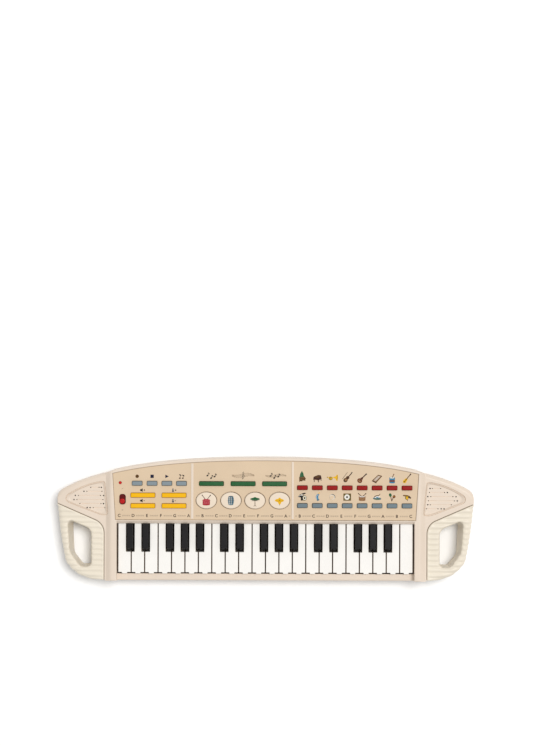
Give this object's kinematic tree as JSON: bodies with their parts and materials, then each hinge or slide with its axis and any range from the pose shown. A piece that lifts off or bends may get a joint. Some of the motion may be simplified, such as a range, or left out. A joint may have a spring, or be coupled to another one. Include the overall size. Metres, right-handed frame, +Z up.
{
  "type": "toy electronic keyboard",
  "caption": "Toy electronic keyboard with small piano keys, a tan button panel, oval drum pads, two speaker wings and a ribbed carrying handle at each end.",
  "frame": {"origin": "on the table, under the middle of the instrument's bounding box", "axes": "+X along the keys towards the high notes, +Y to the back, away from the player, +Z up"},
  "size_m": [0.5026, 0.149, 0.0388],
  "materials": {
    "case": "fine moulded texture",
    "deck_case": "fine moulded texture",
    "handle": "satin, ribbed",
    "panel": "satin, printed",
    "ivory": "gloss",
    "black": "satin gloss",
    "blue_grey": "satin",
    "yellow": "satin",
    "green": "satin",
    "red": "satin",
    "cream": "satin",
    "board": "coated board",
    "rubber": "matt",
    "grey": "matt",
    "speaker": "matt",
    "metal": "bright"
  },
  "bodies": {
    "case": {"top_case": "deck_case", "bottom_case": "case", "left_handle": "handle", "right_handle": "handle", "control_panel": "panel", "key_pivot_rail": "grey", "control_circuit_board": "board", "key_contact_board": "board", "key_contact_rubber": "rubber", "left_speaker": "speaker", "right_speaker": "speaker", "battery_contact_strip": "metal"},
    "battery_door": {"battery_door": "case"},
    "power_switch_knob": {"power_switch_knob": "red"},
    "drum_pad_1": {"drum_pad_1": "cream"},
    "drum_pad_2": {"drum_pad_2": "cream"},
    "drum_pad_3": {"drum_pad_3": "cream"},
    "drum_pad_4": {"drum_pad_4": "cream"},
    "transport_buttons": {"transport_buttons": "blue_grey"},
    "volume_tempo_buttons": {"volume_tempo_buttons": "yellow"},
    "melody_buttons": {"melody_buttons": "green"},
    "instrument_buttons": {"instrument_buttons": "red"},
    "rhythm_buttons": {"rhythm_buttons": "blue_grey"},
    "white_key_01": {"white_key_01": "ivory"},
    "white_key_02": {"white_key_02": "ivory"},
    "white_key_03": {"white_key_03": "ivory"},
    "white_key_04": {"white_key_04": "ivory"},
    "white_key_05": {"white_key_05": "ivory"},
    "white_key_06": {"white_key_06": "ivory"},
    "white_key_07": {"white_key_07": "ivory"},
    "white_key_08": {"white_key_08": "ivory"},
    "white_key_09": {"white_key_09": "ivory"},
    "white_key_10": {"white_key_10": "ivory"},
    "white_key_11": {"white_key_11": "ivory"},
    "white_key_12": {"white_key_12": "ivory"},
    "white_key_13": {"white_key_13": "ivory"},
    "white_key_14": {"white_key_14": "ivory"},
    "white_key_15": {"white_key_15": "ivory"},
    "white_key_16": {"white_key_16": "ivory"},
    "white_key_17": {"white_key_17": "ivory"},
    "white_key_18": {"white_key_18": "ivory"},
    "white_key_19": {"white_key_19": "ivory"},
    "white_key_20": {"white_key_20": "ivory"},
    "white_key_21": {"white_key_21": "ivory"},
    "white_key_22": {"white_key_22": "ivory"},
    "black_key_01": {"black_key_01": "black"},
    "black_key_02": {"black_key_02": "black"},
    "black_key_03": {"black_key_03": "black"},
    "black_key_04": {"black_key_04": "black"},
    "black_key_05": {"black_key_05": "black"},
    "black_key_06": {"black_key_06": "black"},
    "black_key_07": {"black_key_07": "black"},
    "black_key_08": {"black_key_08": "black"},
    "black_key_09": {"black_key_09": "black"},
    "black_key_10": {"black_key_10": "black"},
    "black_key_11": {"black_key_11": "black"},
    "black_key_12": {"black_key_12": "black"},
    "black_key_13": {"black_key_13": "black"},
    "black_key_14": {"black_key_14": "black"},
    "black_key_15": {"black_key_15": "black"}
  },
  "joints": [
    {"name": "battery_door_slide", "type": "slide", "parent": "case", "child": "battery_door", "axis": [0, 1, 0], "range_m": [0, 0.015]},
    {"name": "drum_pad_1_press", "type": "slide", "parent": "case", "child": "drum_pad_1", "axis": [0, 0, -1], "range_m": [0, 0.0012], "stiffness_N_per_m": 400, "springref_m": -0.002},
    {"name": "drum_pad_2_press", "type": "slide", "parent": "case", "child": "drum_pad_2", "axis": [0, 0, -1], "range_m": [0, 0.0012], "stiffness_N_per_m": 400, "springref_m": -0.002},
    {"name": "drum_pad_3_press", "type": "slide", "parent": "case", "child": "drum_pad_3", "axis": [0, 0, -1], "range_m": [0, 0.0012], "stiffness_N_per_m": 400, "springref_m": -0.002},
    {"name": "drum_pad_4_press", "type": "slide", "parent": "case", "child": "drum_pad_4", "axis": [0, 0, -1], "range_m": [0, 0.0012], "stiffness_N_per_m": 400, "springref_m": -0.002},
    {"name": "instrument_buttons_press", "type": "slide", "parent": "case", "child": "instrument_buttons", "axis": [0, 0, -1], "range_m": [0, 0.0012], "stiffness_N_per_m": 400, "springref_m": -0.002},
    {"name": "melody_buttons_press", "type": "slide", "parent": "case", "child": "melody_buttons", "axis": [0, 0, -1], "range_m": [0, 0.0012], "stiffness_N_per_m": 400, "springref_m": -0.002},
    {"name": "rhythm_buttons_press", "type": "slide", "parent": "case", "child": "rhythm_buttons", "axis": [0, 0, -1], "range_m": [0, 0.0012], "stiffness_N_per_m": 400, "springref_m": -0.002},
    {"name": "transport_buttons_press", "type": "slide", "parent": "case", "child": "transport_buttons", "axis": [0, 0, -1], "range_m": [0, 0.0012], "stiffness_N_per_m": 400, "springref_m": -0.002},
    {"name": "volume_tempo_buttons_press", "type": "slide", "parent": "case", "child": "volume_tempo_buttons", "axis": [0, 0, -1], "range_m": [0, 0.0012], "stiffness_N_per_m": 400, "springref_m": -0.002},
    {"name": "power_switch_slide", "type": "slide", "parent": "case", "child": "power_switch_knob", "axis": [0, 1, 0], "range_m": [0, 0.0042]},
    {"name": "key_w01_turn", "type": "hinge", "parent": "case", "child": "white_key_01", "pos_m": [-0.17322, 0.025, 0.024], "axis": [1, 0, 0], "range_deg": [0, 2.5], "stiffness_Nm_per_rad": 0.3, "springref_deg": -5.73},
    {"name": "key_w02_turn", "type": "hinge", "parent": "case", "child": "white_key_02", "pos_m": [-0.1539, 0.025, 0.024], "axis": [1, 0, 0], "range_deg": [0, 2.5], "stiffness_Nm_per_rad": 0.3, "springref_deg": -5.73},
    {"name": "key_w03_turn", "type": "hinge", "parent": "case", "child": "white_key_03", "pos_m": [-0.13458, 0.025, 0.024], "axis": [1, 0, 0], "range_deg": [0, 2.5], "stiffness_Nm_per_rad": 0.3, "springref_deg": -5.73},
    {"name": "key_w04_turn", "type": "hinge", "parent": "case", "child": "white_key_04", "pos_m": [-0.12498, 0.025, 0.024], "axis": [1, 0, 0], "range_deg": [0, 2.5], "stiffness_Nm_per_rad": 0.3, "springref_deg": -5.73},
    {"name": "key_w05_turn", "type": "hinge", "parent": "case", "child": "white_key_05", "pos_m": [-0.10625, 0.025, 0.024], "axis": [1, 0, 0], "range_deg": [0, 2.5], "stiffness_Nm_per_rad": 0.3, "springref_deg": -5.73},
    {"name": "key_w06_turn", "type": "hinge", "parent": "case", "child": "white_key_06", "pos_m": [-0.08815, 0.025, 0.024], "axis": [1, 0, 0], "range_deg": [0, 2.5], "stiffness_Nm_per_rad": 0.3, "springref_deg": -5.73},
    {"name": "key_w07_turn", "type": "hinge", "parent": "case", "child": "white_key_07", "pos_m": [-0.06943, 0.025, 0.024], "axis": [1, 0, 0], "range_deg": [0, 2.5], "stiffness_Nm_per_rad": 0.3, "springref_deg": -5.73},
    {"name": "key_w08_turn", "type": "hinge", "parent": "case", "child": "white_key_08", "pos_m": [-0.05983, 0.025, 0.024], "axis": [1, 0, 0], "range_deg": [0, 2.5], "stiffness_Nm_per_rad": 0.3, "springref_deg": -5.73},
    {"name": "key_w09_turn", "type": "hinge", "parent": "case", "child": "white_key_09", "pos_m": [-0.0405, 0.025, 0.024], "axis": [1, 0, 0], "range_deg": [0, 2.5], "stiffness_Nm_per_rad": 0.3, "springref_deg": -5.73},
    {"name": "key_w10_turn", "type": "hinge", "parent": "case", "child": "white_key_10", "pos_m": [-0.02117, 0.025, 0.024], "axis": [1, 0, 0], "range_deg": [0, 2.5], "stiffness_Nm_per_rad": 0.3, "springref_deg": -5.73},
    {"name": "key_w11_turn", "type": "hinge", "parent": "case", "child": "white_key_11", "pos_m": [-0.01158, 0.025, 0.024], "axis": [1, 0, 0], "range_deg": [0, 2.5], "stiffness_Nm_per_rad": 0.3, "springref_deg": -5.73},
    {"name": "key_w12_turn", "type": "hinge", "parent": "case", "child": "white_key_12", "pos_m": [0.00715, 0.025, 0.024], "axis": [1, 0, 0], "range_deg": [0, 2.5], "stiffness_Nm_per_rad": 0.3, "springref_deg": -5.73},
    {"name": "key_w13_turn", "type": "hinge", "parent": "case", "child": "white_key_13", "pos_m": [0.02525, 0.025, 0.024], "axis": [1, 0, 0], "range_deg": [0, 2.5], "stiffness_Nm_per_rad": 0.3, "springref_deg": -5.73},
    {"name": "key_w14_turn", "type": "hinge", "parent": "case", "child": "white_key_14", "pos_m": [0.04398, 0.025, 0.024], "axis": [1, 0, 0], "range_deg": [0, 2.5], "stiffness_Nm_per_rad": 0.3, "springref_deg": -5.73},
    {"name": "key_w15_turn", "type": "hinge", "parent": "case", "child": "white_key_15", "pos_m": [0.05357, 0.025, 0.024], "axis": [1, 0, 0], "range_deg": [0, 2.5], "stiffness_Nm_per_rad": 0.3, "springref_deg": -5.73},
    {"name": "key_w16_turn", "type": "hinge", "parent": "case", "child": "white_key_16", "pos_m": [0.0729, 0.025, 0.024], "axis": [1, 0, 0], "range_deg": [0, 2.5], "stiffness_Nm_per_rad": 0.3, "springref_deg": -5.73},
    {"name": "key_w17_turn", "type": "hinge", "parent": "case", "child": "white_key_17", "pos_m": [0.09223, 0.025, 0.024], "axis": [1, 0, 0], "range_deg": [0, 2.5], "stiffness_Nm_per_rad": 0.3, "springref_deg": -5.73},
    {"name": "key_w18_turn", "type": "hinge", "parent": "case", "child": "white_key_18", "pos_m": [0.10182, 0.025, 0.024], "axis": [1, 0, 0], "range_deg": [0, 2.5], "stiffness_Nm_per_rad": 0.3, "springref_deg": -5.73},
    {"name": "key_w19_turn", "type": "hinge", "parent": "case", "child": "white_key_19", "pos_m": [0.12055, 0.025, 0.024], "axis": [1, 0, 0], "range_deg": [0, 2.5], "stiffness_Nm_per_rad": 0.3, "springref_deg": -5.73},
    {"name": "key_w20_turn", "type": "hinge", "parent": "case", "child": "white_key_20", "pos_m": [0.13865, 0.025, 0.024], "axis": [1, 0, 0], "range_deg": [0, 2.5], "stiffness_Nm_per_rad": 0.3, "springref_deg": -5.73},
    {"name": "key_w21_turn", "type": "hinge", "parent": "case", "child": "white_key_21", "pos_m": [0.15737, 0.025, 0.024], "axis": [1, 0, 0], "range_deg": [0, 2.5], "stiffness_Nm_per_rad": 0.3, "springref_deg": -5.73},
    {"name": "key_w22_turn", "type": "hinge", "parent": "case", "child": "white_key_22", "pos_m": [0.1701, 0.025, 0.024], "axis": [1, 0, 0], "range_deg": [0, 2.5], "stiffness_Nm_per_rad": 0.3, "springref_deg": -5.73},
    {"name": "key_b01_turn", "type": "hinge", "parent": "case", "child": "black_key_01", "pos_m": [-0.1632, 0.025, 0.024], "axis": [1, 0, 0], "range_deg": [0, 2.5], "stiffness_Nm_per_rad": 0.3, "springref_deg": -5.73},
    {"name": "key_b02_turn", "type": "hinge", "parent": "case", "child": "black_key_02", "pos_m": [-0.1446, 0.025, 0.024], "axis": [1, 0, 0], "range_deg": [0, 2.5], "stiffness_Nm_per_rad": 0.3, "springref_deg": -5.73},
    {"name": "key_b03_turn", "type": "hinge", "parent": "case", "child": "black_key_03", "pos_m": [-0.1153, 0.025, 0.024], "axis": [1, 0, 0], "range_deg": [0, 2.5], "stiffness_Nm_per_rad": 0.3, "springref_deg": -5.73},
    {"name": "key_b04_turn", "type": "hinge", "parent": "case", "child": "black_key_04", "pos_m": [-0.0972, 0.025, 0.024], "axis": [1, 0, 0], "range_deg": [0, 2.5], "stiffness_Nm_per_rad": 0.3, "springref_deg": -5.73},
    {"name": "key_b05_turn", "type": "hinge", "parent": "case", "child": "black_key_05", "pos_m": [-0.0791, 0.025, 0.024], "axis": [1, 0, 0], "range_deg": [0, 2.5], "stiffness_Nm_per_rad": 0.3, "springref_deg": -5.73},
    {"name": "key_b06_turn", "type": "hinge", "parent": "case", "child": "black_key_06", "pos_m": [-0.0498, 0.025, 0.024], "axis": [1, 0, 0], "range_deg": [0, 2.5], "stiffness_Nm_per_rad": 0.3, "springref_deg": -5.73},
    {"name": "key_b07_turn", "type": "hinge", "parent": "case", "child": "black_key_07", "pos_m": [-0.0312, 0.025, 0.024], "axis": [1, 0, 0], "range_deg": [0, 2.5], "stiffness_Nm_per_rad": 0.3, "springref_deg": -5.73},
    {"name": "key_b08_turn", "type": "hinge", "parent": "case", "child": "black_key_08", "pos_m": [-0.0019, 0.025, 0.024], "axis": [1, 0, 0], "range_deg": [0, 2.5], "stiffness_Nm_per_rad": 0.3, "springref_deg": -5.73},
    {"name": "key_b09_turn", "type": "hinge", "parent": "case", "child": "black_key_09", "pos_m": [0.0162, 0.025, 0.024], "axis": [1, 0, 0], "range_deg": [0, 2.5], "stiffness_Nm_per_rad": 0.3, "springref_deg": -5.73},
    {"name": "key_b10_turn", "type": "hinge", "parent": "case", "child": "black_key_10", "pos_m": [0.0343, 0.025, 0.024], "axis": [1, 0, 0], "range_deg": [0, 2.5], "stiffness_Nm_per_rad": 0.3, "springref_deg": -5.73},
    {"name": "key_b11_turn", "type": "hinge", "parent": "case", "child": "black_key_11", "pos_m": [0.0636, 0.025, 0.024], "axis": [1, 0, 0], "range_deg": [0, 2.5], "stiffness_Nm_per_rad": 0.3, "springref_deg": -5.73},
    {"name": "key_b12_turn", "type": "hinge", "parent": "case", "child": "black_key_12", "pos_m": [0.0822, 0.025, 0.024], "axis": [1, 0, 0], "range_deg": [0, 2.5], "stiffness_Nm_per_rad": 0.3, "springref_deg": -5.73},
    {"name": "key_b13_turn", "type": "hinge", "parent": "case", "child": "black_key_13", "pos_m": [0.1115, 0.025, 0.024], "axis": [1, 0, 0], "range_deg": [0, 2.5], "stiffness_Nm_per_rad": 0.3, "springref_deg": -5.73},
    {"name": "key_b14_turn", "type": "hinge", "parent": "case", "child": "black_key_14", "pos_m": [0.1296, 0.025, 0.024], "axis": [1, 0, 0], "range_deg": [0, 2.5], "stiffness_Nm_per_rad": 0.3, "springref_deg": -5.73},
    {"name": "key_b15_turn", "type": "hinge", "parent": "case", "child": "black_key_15", "pos_m": [0.1477, 0.025, 0.024], "axis": [1, 0, 0], "range_deg": [0, 2.5], "stiffness_Nm_per_rad": 0.3, "springref_deg": -5.73}
  ]
}
